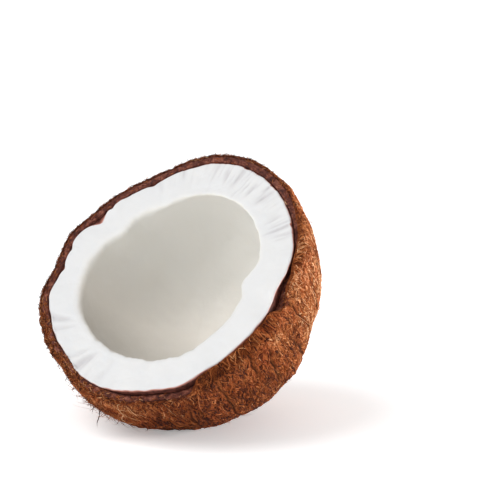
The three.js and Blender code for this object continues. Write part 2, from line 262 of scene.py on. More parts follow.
MM = 0.001
tilt = math.radians(TILT)
cut_height = math.hypot(OUTER_RADIUS * math.sin(tilt), OUTER_DEPTH * math.cos(tilt))
up_in_half = np.array([0.0, math.sin(tilt), math.cos(tilt)])


def smoothstep(t):
    t = np.clip(t, 0.0, 1.0)
    return t * t * (3 - 2 * t)


def unit(v):
    return v / np.linalg.norm(v, axis=-1, keepdims=True)


def turn(start, end):
    """The signed angle from one bearing to another, between -180 and 180."""
    return (np.asarray(end) - start + 180) % 360 - 180


def window(bearing, middle, spread):
    """1 at the middle bearing, falling off over about `spread` each way."""
    return np.exp(-((turn(middle, bearing) / spread) ** 2))


def bumps(rows, bearing):
    return sum(out * window(bearing, at, spread) for at, spread, out in rows)


def broken_rim(bearing):
    """How far down the rim lies and how far the coat is folded over it, eased between the rows."""
    rows = BROKEN_RIM + [(BROKEN_RIM[0][0] + 360, *BROKEN_RIM[0][1:])]
    at = np.array([row[0] for row in rows], float)
    b = (np.asarray(bearing, float) - at[0]) % 360 + at[0]
    i = np.clip(np.searchsorted(at, b, side="right") - 1, 0, len(rows) - 2)
    t = smoothstep((b - at[i]) / (at[i + 1] - at[i]))
    values = np.array([row[1:] for row in rows], float)
    down, over = ((1 - t)[..., None] * values[i] + t[..., None] * values[i + 1]).T
    return down.T, over.T


def on_layer(radius, depth, bearing, dip, outline=OUTLINE):
    """A point of an ellipsoid layer, whose outline's bumps fade towards the pole."""
    b, d = np.radians(bearing), np.radians(dip)
    r = (radius + bumps(outline, bearing) * np.cos(d) ** 2) * np.cos(d)
    return np.stack(np.broadcast_arrays(r * np.cos(b), r * np.sin(b), -depth * np.sin(d)), -1)


def outward(bearing, dip, radius=OUTER_RADIUS, depth=OUTER_DEPTH):
    """Which way is out of an ellipsoid layer there."""
    b, d = np.radians(bearing), np.radians(dip)
    x, y, z = np.cos(d) * np.cos(b) / radius, np.cos(d) * np.sin(b) / radius, -np.sin(d) / depth
    return unit(np.stack(np.broadcast_arrays(x, y, z), -1))


def rim_dip(depth, bearing, slope=0.0):
    """The dip at which a layer meets the broken rim. A fold lowers that by its share of the slope."""
    down, over = broken_rim(bearing)
    return np.degrees(np.arcsin((down + slope * over) / depth))


def ripples(points, size, seed, waves=18):
    """Smooth noise of about -1 to 1 whose lumps are about `size` apart, the same on every run."""
    rng = np.random.default_rng(seed)
    ways = rng.normal(size=(waves, 3))
    lengths = np.linalg.norm(ways, axis=1, keepdims=True)
    ways *= (2 * np.pi / size * rng.uniform(0.6, 1.5, (waves, 1))) / lengths
    shifts = rng.uniform(0, 2 * np.pi, waves)
    total = sum(np.sin(points @ way + shift) for way, shift in zip(ways, shifts))
    return total / math.sqrt(waves / 2) / 1.6


def along_grain(bearing, dip, stretch=9.0):
    """A place in which noise comes out drawn along the fibres, from the cut to the pole."""
    b = np.radians(bearing)
    places = np.broadcast_arrays(
        OUTER_RADIUS * np.cos(b), OUTER_RADIUS * np.sin(b), OUTER_DEPTH * np.radians(dip) / stretch
    )
    return np.stack(places, -1)


def to_world(points):
    """Points of the half's frame, in millimetres, as points of the row's frame, in metres."""
    s, c = math.sin(tilt), math.cos(tilt)
    x, y, z = points[..., 0], points[..., 1], points[..., 2]
    return np.stack([x, c * y - s * z - LEAN_FORWARD, s * y + c * z + cut_height], -1) * MM


def press_flat(points):
    """Lifts what would be below the floor up to it."""
    height = cut_height + points @ up_in_half
    return points - np.minimum(height, 0.0)[..., None] * up_in_half


def add_object(name, data):
    made = bpy.data.objects.new(name, data)
    bpy.context.scene.collection.objects.link(made)
    return made


def finish_piece(name, points, faces, attributes, node, material):
    """A piece of the object from its points in the half's frame, with numbers kept on its points."""
    mesh = bpy.data.meshes.new(name)
    mesh.from_pydata(to_world(points).tolist(), [], faces)
    mesh.shade_smooth()
    for key, values in attributes.items():
        kept = mesh.attributes.new(key, "FLOAT", "POINT")
        kept.data.foreach_set("value", values.astype(np.float32).ravel())
    mesh.materials.append(material)
    piece = add_object(name, mesh)
    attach(piece, "root")
    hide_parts(node)
    return piece


def cup_faces(rows, columns):
    """The faces of a closed cup: pole, rings of points, pole. Its first pole is the outer one."""
    i, j = np.meshgrid(np.arange(rows - 1), np.arange(columns), indexing="ij")
    k = (j + 1) % columns
    this_ring, next_ring = 1 + i * columns, 1 + (i + 1) * columns
    corners = [this_ring + j, this_ring + k, next_ring + k, next_ring + j]
    quads = np.stack(corners, -1).reshape(-1, 4)
    around = np.arange(columns)
    after = (around + 1) % columns
    last = 1 + rows * columns
    first_fan = np.stack([np.zeros_like(around), 1 + after, 1 + around], -1)
    last_fan = np.stack([np.full_like(around, last), last - columns + around, last - columns + after], -1)
    return [first_fan, quads, last_fan]


def cup_piece(name, rings, attributes, node, material):
    """A closed cup from an array of rings, each of which runs once round it. Both ends become points."""
    rows, columns = rings.shape[:2]
    ends = [ring.mean(0, keepdims=True) for ring in (rings[0], rings[-1])]
    inner = rings[1:-1]
    points = np.concatenate([ends[0], inner.reshape(-1, 3), ends[1]])
    values = {
        key: np.concatenate([v[0].mean(keepdims=True), v[1:-1].ravel(), v[-1].mean(keepdims=True)])
        for key, v in attributes.items()
    }
    parts = cup_faces(rows - 2, columns)
    faces = [face for part in parts for face in part.tolist()]
    return finish_piece(name, points, faces, values, node, material)


# Materials

# Where a Mix node for colours has its sockets
MIX_SHARE, MIX_A, MIX_B, MIX_RESULT = 0, 6, 7, 2


class Nodes:
    """The node tree of a new material, with short calls for the kinds of node used here."""

    def __init__(self, name):
        self.material = bpy.data.materials.new(name)
        self.material.use_nodes = True
        self.tree = self.material.node_tree
        self.shader = self.tree.nodes["Principled BSDF"]

    def node(self, kind, links=(), **settings):
        made = self.tree.nodes.new("ShaderNode" + kind)
        for key, value in settings.items():
            setattr(made, key, value)
        for socket, value in dict(links).items():
            self.put(made.inputs[socket], value)
        return made

    def put(self, socket, value):
        """Links a socket to another node's, or sets its number or colour."""
        if isinstance(value, bpy.types.NodeSocket):
            self.tree.links.new(value, socket)
        else:
            socket.default_value = value

    def surface(self, name, value):
        """Sets or links one of the shader's own sockets."""
        self.put(self.shader.inputs[name], value)

    def number(self, name):
        """The number of that name kept on the mesh's points."""
        return self.node("Attribute", attribute_name=name).outputs["Fac"]

    def place(self):
        """The place on the object, in metres. A noise's scale is in lumps a metre."""
        return self.node("TexCoord").outputs["Object"]

    def noise(self, scale, detail=3.0, roughness=0.55, place=None):
        inputs = {"Vector": place or self.place(), "Scale": scale, "Detail": detail, "Roughness": roughness}
        return self.node("TexNoise", inputs).outputs["Fac"]

    def math(self, operation, a, b=0.5, c=None):
        made = self.node("Math", {0: a, 1: b}, operation=operation)
        if c is not None:
            self.put(made.inputs[2], c)
        return made.outputs["Value"]

    def mix(self, share, a, b, blend="MIX"):
        made = self.node("Mix", data_type="RGBA", blend_type=blend)
        self.put(made.inputs[MIX_SHARE], share)
        self.put(made.inputs[MIX_A], a)
        self.put(made.inputs[MIX_B], b)
        return made.outputs[MIX_RESULT]

    def ramp(self, value, stops):
        """Colours or greys at places between 0 and 1."""
        made = self.node("ValToRGB", {"Fac": value})
        stops_made = made.color_ramp.elements
        while len(stops_made) < len(stops):
            stops_made.new(0.5)
        for element, (position, colour) in zip(stops_made, stops):
            element.position = position
            element.color = colour if isinstance(colour, tuple) else (colour, colour, colour, 1)
        return made.outputs["Color"]

    def bump(self, height, strength, distance):
        inputs = {"Height": height, "Strength": strength, "Distance": distance}
        return self.node("Bump", inputs).outputs["Normal"]

    def grain(self, across, along):
        """Coordinates drawn out along the fibres: so many lumps a metre across them and along them."""
        centre = (0, -LEAN_FORWARD * MM, cut_height * MM)
        moved = self.node("VectorMath", {0: self.place(), 1: centre}, operation="SUBTRACT").outputs["Vector"]
        turned = self.node("VectorRotate", {"Vector": moved, "Angle": -tilt}, rotation_type="X_AXIS")
        split = self.node("SeparateXYZ", {"Vector": turned.outputs["Vector"]})
        flat = self.node("CombineXYZ", {"X": split.outputs["X"], "Y": split.outputs["Y"], "Z": 0.0})
        unit = self.node("VectorMath", {0: flat.outputs["Vector"]}, operation="NORMALIZE")
        round_it = self.node("VectorMath", {0: unit.outputs["Vector"]}, operation="SCALE")
        self.put(round_it.inputs["Scale"], OUTER_RADIUS * MM * across)
        down = self.math("MULTIPLY", split.outputs["Z"], along)
        lift = self.node("CombineXYZ", {"X": 0.0, "Y": 0.0, "Z": down})
        both = {0: round_it.outputs["Vector"], 1: lift.outputs["Vector"]}
        return self.node("VectorMath", both, operation="ADD").outputs["Vector"]


def rgb(r, g, b):
    """A colour given in the 0 to 255 of a screen, as the linear light that a shader takes."""
    return (*(((v / 255 + 0.055) / 1.055) ** 2.4 if v > 10 else v / 255 / 12.92 for v in (r, g, b)), 1.0)


def flesh_material():
    n = Nodes("coconut_flesh")
    white = n.mix(n.noise(60, 2), rgb(215, 216, 218), rgb(224, 223, 221))
    # Painted shade, a bluish grey, in the cut face's tears and creases
    groove_shaded = n.mix(n.number("groove_shade"), white, rgb(178, 172, 176))
    uneven = n.noise(45, 3)
    # Painted light and shade on the hollow's wall, darker on its low side and paler towards its high side,
    # with a little random mottling
    height = n.math("MULTIPLY_ADD", uneven, 0.12, n.math("ADD", n.number("painted_light_side"), -0.06))
    hollow_tone_and_shade = n.ramp(
        height,
        [
            (0.0, rgb(185, 180, 173)),
            (0.25, rgb(201, 196, 188)),
            (0.5, rgb(226, 221, 213)),
            (0.9, rgb(230, 228, 222)),
        ],
    )
    # The hollow is greyer than the cut face: partly the inner flesh's own duller tone, partly painted shade
    # of the hollow
    inner = n.mix(n.number("cavity"), groove_shaded, hollow_tone_and_shade)
    testa = n.ramp(n.noise(700, 3), [(0.35, rgb(58, 24, 18)), (0.65, rgb(104, 54, 42))])
    reddish = n.mix(n.ramp(n.number("skin"), [(0.35, 0.0), (0.8, 1.0)]), rgb(190, 122, 104), testa)
    skinned = n.mix(n.ramp(n.number("skin"), [(0.0, 0.0), (0.4, 1.0)]), inner, reddish)
    n.surface("Base Color", skinned)
    fine = n.math("ADD", n.noise(700, 4), n.noise(2600, 2))
    n.surface("Normal", n.bump(fine, 0.18, 0.0004))
    n.surface("Roughness", n.ramp(n.noise(300, 3), [(0.3, 0.42), (0.7, 0.6)]))
    n.surface("Subsurface Weight", 0.3)
    n.surface("Subsurface Radius", (1.0, 0.9, 0.8))
    n.surface("Subsurface Scale", 0.002)
    n.surface("Specular IOR Level", 0.35)
    return n.material


def shell_material():
    n = Nodes("coconut_shell")
    dark = n.ramp(
        n.noise(520, 6, 0.7),
        [(0.34, rgb(54, 22, 17)), (0.5, rgb(106, 54, 42)), (0.66, rgb(164, 102, 80))],
    )
    n.surface("Base Color", dark)
    rough = n.math("ADD", n.noise(1300, 5, 0.7), n.noise(500, 3))
    n.surface("Normal", n.bump(rough, 0.9, 0.0008))
    n.surface("Roughness", n.ramp(n.noise(600, 3), [(0.3, 0.65), (0.7, 0.9)]))
    n.surface("Specular IOR Level", 0.3)
    return n.material


def coat_colour(n):
    """Matted husk: orange brown, paler and darker in drawn-out streaks, with specks of dark and tan."""
    streaks = n.noise(1.0, 5, 0.62, n.grain(1100, 170))
    patches = n.noise(55, 3)
    specks = n.noise(1500, 4, 0.7)
    base = n.ramp(
        streaks,
        [
            (0.27, rgb(74, 31, 13)),
            (0.42, rgb(130, 66, 31)),
            (0.56, rgb(172, 96, 48)),
            (0.74, rgb(210, 138, 84)),
        ],
    )
    warmed = n.mix(n.ramp(patches, [(0.35, 0.0), (0.65, 0.55)]), base, rgb(152, 72, 32))
    speckled = n.mix(n.ramp(specks, [(0.3, 0.75), (0.5, 0.0)]), warmed, rgb(50, 20, 10))
    return speckled, streaks, specks


def coat_material():
    n = Nodes("matted_fibre")
    colour, streaks, specks = coat_colour(n)
    # Painted shade, darkest in the cracks and where the coat's relief lies low
    shaded = n.mix(n.number("furrow_shade"), colour, rgb(44, 18, 10))
    torn = n.ramp(n.noise(620, 6, 0.7), [(0.34, rgb(52, 22, 17)), (0.66, rgb(136, 78, 58))])
    rim = n.mix(n.number("rim"), shaded, torn)
    n.surface("Base Color", rim)
    relief = n.math("ADD", streaks, n.math("MULTIPLY", specks, 0.7))
    n.surface("Normal", n.bump(relief, 0.9, 0.0012))
    n.surface("Roughness", n.ramp(specks, [(0.3, 0.98), (0.7, 0.8)]))
    n.surface("Specular IOR Level", 0.1)
    return n.material


def strand_material(name, stops):
    """Single fibres. Each has one number of its own, its tone, which picks its colour."""
    n = Nodes(name)
    patches = n.noise(60, 2)
    tone = n.math("MULTIPLY_ADD", patches, 0.5, n.math("ADD", n.number("tone"), -0.25))
    ruddy = n.ramp(n.noise(130, 3), [(0.42, (1.0, 1.0, 1.0, 1)), (0.66, (1.04, 0.86, 0.82, 1))])
    n.surface("Base Color", n.mix(1.0, n.ramp(tone, stops), ruddy, "MULTIPLY"))
    n.surface("Roughness", n.ramp(n.noise(2500, 2), [(0.3, 0.62), (0.7, 0.85)]))
    n.surface("Normal", n.bump(n.noise(5000, 2), 0.3, 0.0002))
    n.surface("Specular IOR Level", 0.12)
    return n.material


# The flesh

def spoke(bearing, r, z):
    """Points at distances from the axis and heights over the cut."""
    r, z = np.broadcast_arrays(r, z)
    return np.stack([r * np.cos(np.radians(bearing)), r * np.sin(np.radians(bearing)), z], -1)


def flesh_tears(bearing, share):
    """Grooves torn in the cut face from its outer edge inwards, from 0 to about 1."""
    x, y = FLESH_RADIUS * np.cos(np.radians(bearing)), FLESH_RADIUS * np.sin(np.radians(bearing))
    around = np.stack(np.broadcast_arrays(x, y, 1.5 * share), -1)
    wide = np.clip(ripples(around, 2.6, 21) - 0.1, 0, 1)
    narrow = np.clip(ripples(around, 1.5, 22) - 0.2, 0, 1)
    strength = TEAR_LEAST + bumps(TEARS, bearing)
    length = 0.56 + 0.4 * np.clip(strength, 0, 1) + 0.22 * ripples(around, 6.0, 23)
    return (wide + 0.6 * narrow) * strength * smoothstep(share / 0.08) * smoothstep((length - share) / 0.45)


def flesh_creases(bearing, share):
    """Wide soft creases in the cut face, from 0 to about 1."""
    total = 0.0
    for at, spread, strength, turned in CREASES:
        total = total + strength * window(bearing, at + turned * share, spread * (1 - 0.5 * share))
    return total * smoothstep(share / 0.1) * smoothstep((0.95 - share) / 0.5)


def flesh_edge(bearing):
    """How far the ragged outer edge of the cut face lies from the axis."""
    even = np.hypot(*on_layer(FLESH_RADIUS, FLESH_DEPTH, bearing, 0.0)[:, :2].T)
    ragged = even + 0.13 * ripples(along_grain(bearing, 0.0), 7.0, 31)
    notched = ragged - bumps(NOTCHES, bearing) - FLESH_SET_BACK
    return notched - TEAR_NOTCH * flesh_tears(bearing, np.array([[0.12]]))[0]


def flesh_cut_face(bearing, share, outer, inner):
    """The cut face between its edges, and how much painted shade greys its tears and creases."""
    torn, creased = flesh_tears(bearing, share), flesh_creases(bearing, share)
    waves = sum(high * np.sin(np.radians(bearing * count + shift)) for count, high, shift in CUT_WAVES)
    height = waves * (1 - share) - CUT_SINK - TEAR_DEPTH * torn - CREASE_DEPTH * creased
    height = height - 0.35 * (1 - smoothstep(share / 0.05))
    face = spoke(bearing, outer + (inner - outer) * share, height)
    face[..., 2] += 0.07 * ripples(face, 7.0, 33) + 0.03 * ripples(face, 2.0, 34)
    return face, np.clip(torn * 0.5 + creased * 0.4, 0, 1)


def flesh_lip(bearing, share, edge, lip, lip_dip, face_end):
    """The cavity's rounded edge: from the end of the cut face, round a corner, to the wall."""
    top = spoke(bearing, edge + lip, face_end)
    corner = spoke(bearing, edge - 0.15, face_end - 0.05)
    wall = on_layer(CAVITY_RADIUS, CAVITY_DEPTH, bearing, lip_dip, CAVITY_OUTLINE)
    t = share[..., None]
    return (1 - t) ** 2 * top + 2 * t * (1 - t) * corner + t * t * wall


def flesh_hollow(bearing, share, lip_dip):
    """The cavity's wall, with faint lumps that fade out at its edge and its pole."""
    dips = lip_dip + (90 - lip_dip) * share
    even = on_layer(CAVITY_RADIUS, CAVITY_DEPTH, bearing, dips, CAVITY_OUTLINE)
    lumps = (0.22 * ripples(even, 16.0, 35) + 0.05 * ripples(even, 4.0, 36))[..., None]
    fade = (smoothstep(share / 0.1) * smoothstep((1 - share) / 0.05))[..., None]
    return even + unit(even) * lumps * fade


def flesh_piece(material):
    bearing = np.arange(FLESH_ROUND) * 360.0 / FLESH_ROUND
    at_cut = along_grain(bearing, 0.0)
    outer_dips = np.linspace(90, 1.6, OUTSIDE_STEPS)[:, None]
    face_share = np.linspace(0, 1, FACE_STEPS)[:, None]
    lip_share = np.linspace(0, 1, LIP_STEPS)[1:, None]
    hollow_share = np.linspace(0, 1, HOLLOW_STEPS)[1:, None]

    outer = flesh_edge(bearing)
    cavity = np.hypot(*on_layer(CAVITY_RADIUS, CAVITY_DEPTH, bearing, 0.0, CAVITY_OUTLINE)[:, :2].T)
    uneven = cavity + (0.4 * ripples(at_cut, 11.0, 37) + 0.16 * ripples(at_cut, 4.5, 38))
    lip = LIP_LEAST + LIP_MORE * window(bearing, LIP_BEARING, LIP_SPREAD)
    lip_dip = np.degrees(np.arcsin(lip / CAVITY_DEPTH))

    outside = on_layer(FLESH_RADIUS, FLESH_DEPTH, bearing, outer_dips)
    face, groove_shaded = flesh_cut_face(bearing, face_share, outer, uneven + lip)
    rounded = flesh_lip(bearing, lip_share, uneven, lip, lip_dip, face[-1, :, 2])
    hollow = flesh_hollow(bearing, hollow_share, lip_dip)
    rings = np.concatenate([outside, face, rounded, hollow])

    none = [np.zeros(part.shape[:2]) for part in (outside, face, rounded, hollow)]
    skin_edge = 0.12 + 0.05 * ripples(at_cut, 6.0, 41)
    skin = smoothstep((skin_edge - (outer - cavity) * face_share) / 0.35)
    # The hollow's greyer colour begins at the cut face's inner edge and runs across the lip: partly the
    # flesh's own tone, partly painted shade
    face_hollow = none[1] + smoothstep((face_share - 0.9) / 0.1) * 0.15
    lip_hollow = none[2] + (0.15 + 0.85 * smoothstep(lip_share * 1.7))
    numbers = {
        "skin": np.concatenate([none[0] + 1, skin, none[2], none[3]]),
        "cavity": np.concatenate([none[0], face_hollow, lip_hollow, none[3] + 1]),
        # painted shade in the cut face's tears and creases
        "groove_shade": np.concatenate([none[0], groove_shaded, none[2], none[3]]),
        # painted light and shade on the hollow's wall, paler towards its high side
        "painted_light_side": np.clip((rings @ np.array(PAINTED_LIGHT_WAY) + DARKEST) / PALES_OVER, 0, 1),
    }
    return cup_piece("flesh_surface", rings, numbers, "flesh", material)


# The shell

def shell_piece(material):
    bearing = np.arange(SHELL_ROUND) * 360.0 / SHELL_ROUND
    inner_radius, inner_depth = SHELL_RADIUS - SHELL_THICKNESS, SHELL_DEPTH - SHELL_THICKNESS
    down = np.linspace(0, 1, SHELL_DOWN)[::-1, None]
    across = np.linspace(0, 1, SHELL_ACROSS)[1:-1, None]

    def side(radius, depth, share, slope):
        first = rim_dip(depth, bearing, slope)
        return on_layer(radius, depth, bearing, first + (90 - first) * share)

    outside = side(SHELL_RADIUS, SHELL_DEPTH, down, FOLD_SLOPE)
    inside = side(inner_radius, inner_depth, down[::-1], 0.0)
    _, over = broken_rim(bearing)
    t = across[..., None]
    rim = outside[-1] * (1 - t) + inside[0] * t
    chipped = 0.3 * ripples(rim, 3.4, 51) + 0.22 * ripples(rim, 1.3, 52) + 0.12 * ripples(rim, 0.7, 53)
    rim[..., 2] += (0.2 + chipped) * np.sin(np.pi * across) ** 0.5 * (1 - 0.9 * over)
    rings = np.concatenate([outside, rim, inside])
    return cup_piece("shell_surface", rings, {}, "shell", material)


# The coat

def ridge_height(bearing, dip):
    """How far the bundles of fibre rise from the coat. They fade at the pole."""
    total = 0.0
    for count, height, sway, waves in RIDGES:
        swayed = sway * np.sin(np.radians(dip * 4 * waves + bearing * 3))
        crest = 1 - np.abs(np.sin(np.radians(bearing) * count / 2 + swayed))
        total = total + 2 * height * (crest - RIDGE_MIDDLE)
    return total * np.cos(np.radians(dip))


def crack_share(bearing, dip):
    """1 in the middle of a crack, 0 away from them all."""
    total = np.zeros(np.broadcast(bearing, dip).shape)
    for at, first, last, turned in CRACKS:
        along = (dip - first) / (last - first)
        wander = 0.35 * np.sin(along * 9 + at) + 0.2 * np.sin(along * 23 + 2 * at)
        middle = at + turned * along + wander
        off = np.radians(turn(middle, bearing)) * OUTER_RADIUS * np.cos(np.radians(dip))
        width = CRACK_WIDTH * (0.5 + 0.5 * np.sin(np.pi * np.clip(along, 0, 1)))
        ends = smoothstep(along / 0.12) * smoothstep((1 - along) / 0.12)
        total = np.maximum(total, np.exp(-((off / width) ** 2)) * ends)
    return total


def eye_share(base):
    """1 in the middle of each pore, 0 outside them."""
    total = np.zeros(base.shape[:-1])
    dip = 90 - math.degrees(EYE_FROM_POLE / OUTER_RADIUS)
    for i in range(EYE_COUNT):
        middle = on_layer(OUTER_RADIUS, OUTER_DEPTH, EYE_FIRST + i * 360 / EYE_COUNT, dip)
        inside = EYE_RADIUS - np.linalg.norm(base - middle, axis=-1)
        total = np.maximum(total, smoothstep(inside / EYE_SOFTNESS + 0.5))
    return total


def swelling_height(base):
    """How much thicker the coat is matted at points of its plain surface."""
    total = 0.0
    for bearing, dip, reach, height in SWELLINGS:
        middle = on_layer(OUTER_RADIUS, OUTER_DEPTH, bearing, dip)
        nearness = 1 - np.linalg.norm(base - middle, axis=-1) / reach
        total = total + height * smoothstep(nearness / SWELLING_SLOPE)
    return total


def worn_edge(bearing, dip):
    """How far the coat's edge is worn back. A fold keeps most of it."""
    past = dip - rim_dip(OUTER_DEPTH, bearing)
    _, over = broken_rim(bearing)
    amount = WORN_BACK + WORN_MORE * window(bearing, WORN_BEARING, WORN_SPREAD)
    return amount * (1 - 0.8 * over) * (1 - smoothstep(past / WORN_DOWN)) ** 1.5


def coat_relief(bearing, dip):
    """How far the coat's fine surface stands off its even ellipsoid."""
    grain = along_grain(bearing, dip)
    fine = 0.14 * ripples(grain, 2.4, 61) + 0.1 * ripples(grain, 1.1, 62)
    base = on_layer(OUTER_RADIUS, OUTER_DEPTH, bearing, dip)
    lumps = 0.1 * ripples(base, 4.5, 63) + 0.08 * ripples(base, 1.8, 64)
    return RIDGE_SHARE * ridge_height(bearing, dip) + fine * np.cos(np.radians(dip)) + lumps


def coat_surface(bearing, dip, lift=0.0):
    """A point on the coat's fine surface, or `lift` above it, never below the floor.

    Where the coat is folded in over the rim, dips above the rim's lead on over the fold.
    """
    first = rim_dip(OUTER_DEPTH, bearing)
    _, over = broken_rim(bearing)
    on = np.maximum(dip, first)
    base = on_layer(OUTER_RADIUS, OUTER_DEPTH, bearing, on)
    height = coat_relief(bearing, on) + swelling_height(base) - SET_BACK
    height = height - worn_edge(bearing, on) - CRACK_DEPTH * crack_share(bearing, on)
    height = height - EYE_DEPTH * eye_share(base)
    out = outward(bearing, on)
    point = base + out * height[..., None]
    past = (over * smoothstep((first - dip) / FOLD_REACH))[..., None]
    tip = on_layer(FLESH_RADIUS + FOLD_TIP_OFF, 0.0, bearing, 0.0) - [0, 0, FOLD_TIP_DOWN]
    leant = out * (1 - past) + np.array([0, 0, 1.0]) * past
    return press_flat(point * (1 - past) + tip * past + leant * np.asarray(lift)[..., None])


def coat_rim(bearing, outer, inner):
    """The frayed rim between the coat's edges, drawn in over the shell's where the coat is folded."""
    _, over = broken_rim(bearing)
    across = np.linspace(0, 1, COAT_ACROSS)[1:-1, None]
    rim = outer * (1 - across[..., None]) + inner * across[..., None]
    frayed = 0.35 * ripples(rim, 2.2, 71) + 0.3 * ripples(rim, 0.9, 72)
    rim[..., 2] += frayed * np.sin(np.pi * across) ** 0.5
    fold = np.broadcast_to(on_layer(FLESH_RADIUS + FOLD_TIP_OFF, 0.0, bearing, 0.0), rim.shape).copy()
    fold[..., 2] = -(FOLD_TIP_DOWN + FOLD_THICKNESS * smoothstep((across - 0.7) / 0.2)) + 0.25 * frayed
    pulled = (over * np.clip(1.6 * across, 0, 1) * smoothstep((1.02 - across) / 0.12))[..., None]
    return rim * (1 - pulled) + fold * pulled


def coat_numbers(bearing, dips, rim_rows, inside_rows):
    """What the coat's material reads: painted shade, darkest in the cracks and where the relief lies low, a
    little on the rim band, and how much of a point is torn rim.
    """
    _, over = broken_rim(bearing)
    # Painted shade in the cracks and where the relief lies low
    low = 0.6 * smoothstep((-coat_relief(bearing, dips) - 0.05) / 0.4)
    furrow_shade = np.clip(1.1 * crack_share(bearing, dips) + low, 0, 1)
    away_from_fold = smoothstep((np.cos(np.radians(bearing - 160)) + 0.2) / 0.6)
    near_rim = smoothstep(1 - (dips - rim_dip(OUTER_DEPTH, bearing)) / 2.5) * 0.9 * away_from_fold
    torn = (1 - 0.9 * over) * (0.3 + 0.7 * away_from_fold)
    rim, inside = np.ones((rim_rows, COAT_ROUND)), np.ones((inside_rows, COAT_ROUND))
    return {
        "furrow_shade": np.concatenate([furrow_shade, 0.2 * rim, inside]),
        "rim": np.concatenate([near_rim, torn * rim, inside]),
    }


def coat_piece(material):
    bearing = np.arange(COAT_ROUND) * 360.0 / COAT_ROUND
    down = np.linspace(0, 1, COAT_DOWN)[::-1, None] ** 1.15
    first = rim_dip(OUTER_DEPTH, bearing)
    dips = first + (90 - first) * down
    outside = coat_surface(np.broadcast_to(bearing, dips.shape), dips)

    inner_radius, inner_depth = OUTER_RADIUS - COAT_THICKNESS, OUTER_DEPTH - COAT_THICKNESS
    inner_first = rim_dip(inner_depth, bearing, FOLD_SLOPE)
    inner_share = np.linspace(0, 1, COAT_INSIDE)[:, None]
    inside = on_layer(inner_radius, inner_depth, bearing, inner_first + (90 - inner_first) * inner_share)

    rim = coat_rim(bearing, outside[-1], inside[0])
    rings = np.concatenate([outside, rim, inside])
    numbers = coat_numbers(bearing, dips, len(rim), len(inside))
    return cup_piece("coat_surface", rings, numbers, "fibre_coat", material)


# Fibres

STRAND_FLATNESS = 0.5  # how thick a strand is for its width
STRAND_SUNK = 0.2  # how deep the root of a loose one sits
LAST_DIP = 89.5  # strands stop just short of the pole


def walk(bearing, dip, heading, length, steps, curl, wave):
    """Paths over the coat: arrays of bearing and dip. Heading 0 runs to the pole, 90 round the coat."""
    bearings, dips = [bearing], [dip]
    step = length / (steps - 1)
    for i in range(1, steps):
        angle = np.radians(heading + curl * i + wave * math.sin(i * 1.7))
        dip_now = dips[-1]
        dips.append(dip_now + np.degrees(step * np.cos(angle) / OUTER_DEPTH))
        ring = np.maximum(OUTER_RADIUS * np.cos(np.radians(dip_now)), 3.0)
        bearings.append(bearings[-1] + np.degrees(step * np.sin(angle) / ring))
    return np.stack(bearings, 1), np.stack(dips, 1)


def strand_mesh(paths, outs, widths):
    """Closed three-sided strands along paths of points, each drawn to a point at both ends."""
    n, steps = paths.shape[:2]
    ahead = np.gradient(paths, axis=1)
    ahead /= np.linalg.norm(ahead, axis=-1, keepdims=True) + 1e-9
    across = np.cross(ahead, outs)
    across /= np.linalg.norm(across, axis=-1, keepdims=True) + 1e-9
    over = np.cross(across, ahead)
    share = np.linspace(0, 1, steps)[1:-1]
    thick = 0.5 * widths[:, None] * np.minimum(1, 0.45 + 1.2 * np.minimum(share, 1 - share))
    sides = []
    for a in (math.pi / 2, math.pi * 7 / 6, math.pi * 11 / 6):
        off = math.cos(a) * across[:, 1:-1] + STRAND_FLATNESS * math.sin(a) * over[:, 1:-1]
        sides.append(paths[:, 1:-1] + thick[..., None] * off)
    rings = np.stack(sides, 2).reshape(n, -1, 3)
    points = np.concatenate([paths[:, :1], rings, paths[:, -1:]], 1)
    each = points.shape[1]
    faces = []
    for k in range(3):
        after = (k + 1) % 3
        faces.append([0, 1 + after, 1 + k])
        for i in range(steps - 3):
            a, b = 1 + 3 * i + k, 1 + 3 * i + after
            faces += [[a, b, b + 3], [a, b + 3, a + 3]]
        last = 1 + 3 * (steps - 3)
        faces.append([last + k, last + after, each - 1])
    faces = (np.arange(n)[:, None, None] * each + np.array(faces)[None]).reshape(-1, 3)
    return points.reshape(-1, 3), faces.tolist(), each


def scattered(rng, count, first=0.2, last=89.0):
    """Even bearings and dips over the coat, none above its rim."""
    bearing = rng.uniform(0, 360, count)
    highest, lowest = math.sin(math.radians(first)), math.sin(math.radians(last))
    return bearing, np.degrees(np.arcsin(rng.uniform(highest, lowest, count)))


def clear_of_cracks(bearings, dips, between=4):
    """Which paths keep out of every crack, also between their own points."""
    share = np.linspace(0, 1, between, endpoint=False)
    points = [array[:, :-1, None] * (1 - share) + array[:, 1:, None] * share for array in (bearings, dips)]
    return crack_share(*points).max((1, 2)) < CRACK_CLEAR


def kept_below_rim(bearings, dips):
    """Moves whole paths down the coat until none passes its rim, or the fold's tip where it is folded in."""
    _, over = broken_rim(bearings)
    top = rim_dip(OUTER_DEPTH, bearings) - FOLD_REACH * over
    return dips + np.maximum((top - dips).max(1), 0.0)[:, None]


def strands_piece(name, paths, outs, widths, tones, material):
    """A piece of the fibre coat made of strands, each with a tone of its own."""
    points, faces, each = strand_mesh(paths, outs, widths)
    numbers = {"tone": np.repeat(tones, each)}
    return finish_piece(name, press_flat(points), faces, numbers, "fibre_coat", material)


def ways_at(bearing):
    """The unit directions out from the axis and round it."""
    b, level = np.radians(bearing), np.zeros(len(bearing))
    return np.stack([np.cos(b), np.sin(b), level], -1), np.stack([-np.sin(b), np.cos(b), level], -1)


